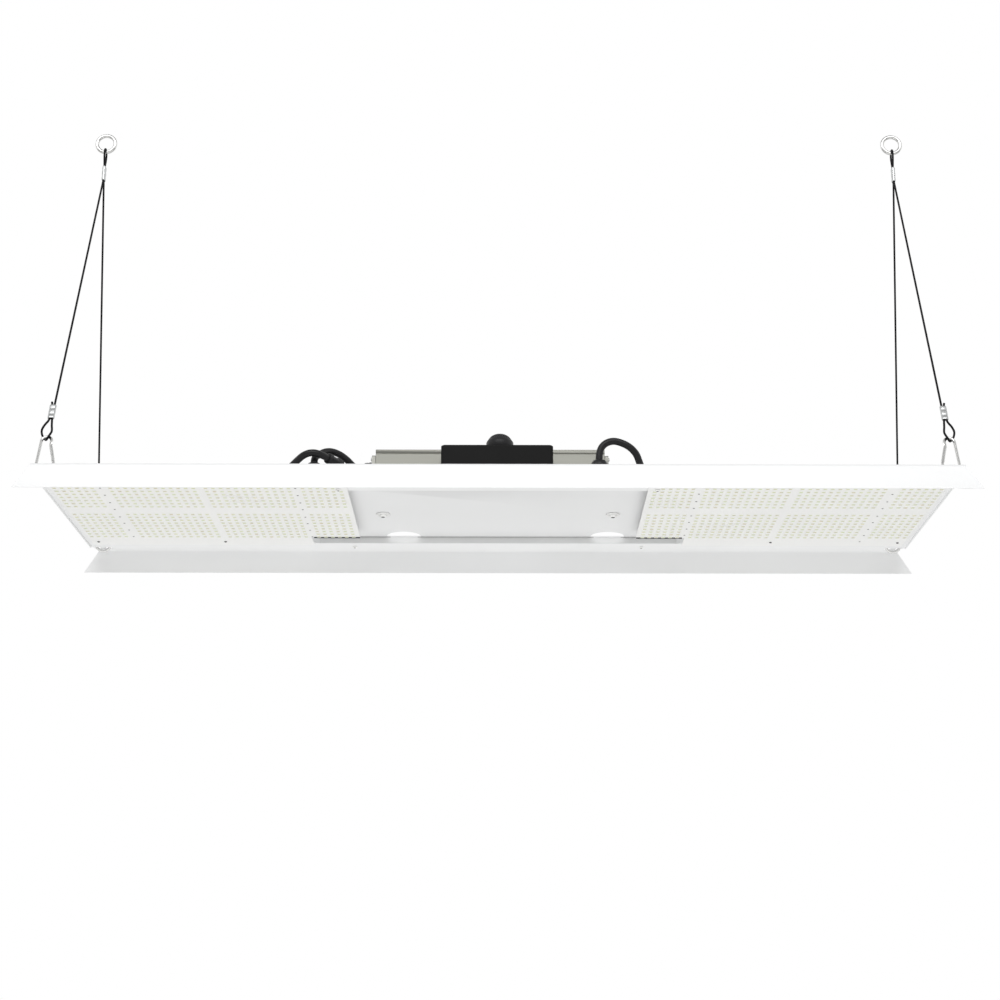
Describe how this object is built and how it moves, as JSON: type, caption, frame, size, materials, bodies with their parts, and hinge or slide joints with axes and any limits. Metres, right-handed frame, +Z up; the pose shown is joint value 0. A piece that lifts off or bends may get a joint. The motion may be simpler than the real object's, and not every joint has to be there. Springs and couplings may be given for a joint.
{
  "type": "hanging led grow light",
  "caption": "Long hanging LED grow light: white folded hood, LED boards underneath, a raised platform with driver and dimmer knob on top, and coated wire slings on snap hooks.",
  "frame": {"origin": "midway between the two points where the slings hang on their rings, straight above the light's centre of mass", "axes": "+X along the light, +Y across it away from the dimmer, +Z up; the LED boards face -Z"},
  "size_m": [1.115, 0.3749, 0.5461],
  "materials": {
    "white_paint": "smooth semi-gloss white powder coat on aluminium sheet",
    "board_face": "white solder mask over an aluminium core",
    "white_plastic": "moulded white",
    "driver_alloy": "clear satin extrusion",
    "circuit_board": "green glass fibre board with its parts",
    "potting": "grey silicone potting",
    "zinc_steel": "zinc plated",
    "black_plastic": "fine-grained black",
    "lead_jacket": "satin black jacket",
    "plated_steel": "bright nickel plate",
    "pressed_alloy": "pressed bare aluminium",
    "coated_rope": "black nylon coat over steel rope"
  },
  "bodies": {
    "ceiling_rings": {"hanging_ring_left": "plated_steel", "hanging_ring_right": "plated_steel"},
    "light": {"ac_lead": "lead_jacket", "board_feed_left": "lead_jacket", "board_feed_right": "lead_jacket", "board_terminal_left": "white_plastic", "board_terminal_right": "white_plastic", "connector_clip": "black_plastic", "dimmer_base": "black_plastic", "dimmer_board": "circuit_board", "dimmer_cover": "black_plastic", "dimmer_potentiometer": "zinc_steel", "driver_case": "driver_alloy", "driver_circuit": "potting", "driver_end_left": "driver_alloy", "driver_end_right": "driver_alloy", "driver_gland_ac": "black_plastic", "driver_gland_left": "black_plastic", "driver_gland_right": "black_plastic", "driver_platform": "white_paint", "driver_screw_left": "zinc_steel", "driver_screw_right": "zinc_steel", "driver_strap_left": "zinc_steel", "driver_strap_right": "zinc_steel", "gate_pin_back_left": "plated_steel", "gate_pin_back_right": "plated_steel", "gate_pin_front_left": "plated_steel", "gate_pin_front_right": "plated_steel", "hood_tray": "white_paint", "lead_coupler": "black_plastic", "led_board_left": "board_face", "led_board_right": "board_face", "led_lead_left": "lead_jacket", "led_lead_right": "lead_jacket", "mains_connector": "black_plastic", "platform_screw_back_left": "zinc_steel", "platform_screw_back_right": "zinc_steel", "platform_screw_front_left": "zinc_steel", "platform_screw_front_right": "zinc_steel", "sling_ferrule_back_left": "pressed_alloy", "sling_ferrule_back_right": "pressed_alloy", "sling_ferrule_front_left": "pressed_alloy", "sling_ferrule_front_right": "pressed_alloy", "sling_left": "coated_rope", "sling_right": "coated_rope", "snap_hook_back_left": "plated_steel", "snap_hook_back_right": "plated_steel", "snap_hook_front_left": "plated_steel", "snap_hook_front_right": "plated_steel", "top_ferrule_left": "pressed_alloy", "top_ferrule_right": "pressed_alloy", "tray_gland_left": "black_plastic", "tray_gland_right": "black_plastic"},
    "knob": {"dimmer_knob": "black_plastic"},
    "gate_front_left": {"hook_gate_front_left": "plated_steel"},
    "gate_back_left": {"hook_gate_back_left": "plated_steel"},
    "gate_front_right": {"hook_gate_front_right": "plated_steel"},
    "gate_back_right": {"hook_gate_back_right": "plated_steel"}
  },
  "joints": [
    {"name": "light_swing", "type": "hinge", "parent": "ceiling_rings", "child": "light", "pos_m": [0, 0, 0], "axis": [1, 0, 0], "range_deg": [-25, 25]},
    {"name": "dimmer_turn", "type": "hinge", "parent": "light", "child": "knob", "pos_m": [0.0022, -0.10725, -0.454], "axis": [0, 0, -1], "range_deg": [0, 280]},
    {"name": "gate_front_left", "type": "hinge", "parent": "light", "child": "gate_front_left", "pos_m": [-0.5235, -0.13882, -0.45926], "axis": [0, 0.9489, -0.3157], "range_deg": [0, 22], "stiffness_Nm_per_rad": 0.01, "springref_deg": -28.65},
    {"name": "gate_back_left", "type": "hinge", "parent": "light", "child": "gate_back_left", "pos_m": [-0.5269, 0.17825, -0.46019], "axis": [0, 0.9199, 0.3921], "range_deg": [0, 22], "stiffness_Nm_per_rad": 0.01, "springref_deg": -28.65},
    {"name": "gate_front_right", "type": "hinge", "parent": "light", "child": "gate_front_right", "pos_m": [0.5235, -0.13882, -0.45926], "axis": [0, -0.9489, 0.3157], "range_deg": [0, 22], "stiffness_Nm_per_rad": 0.01, "springref_deg": -28.65},
    {"name": "gate_back_right", "type": "hinge", "parent": "light", "child": "gate_back_right", "pos_m": [0.5269, 0.17825, -0.46019], "axis": [0, -0.9199, -0.3921], "range_deg": [0, 22], "stiffness_Nm_per_rad": 0.01, "springref_deg": -28.65}
  ]
}
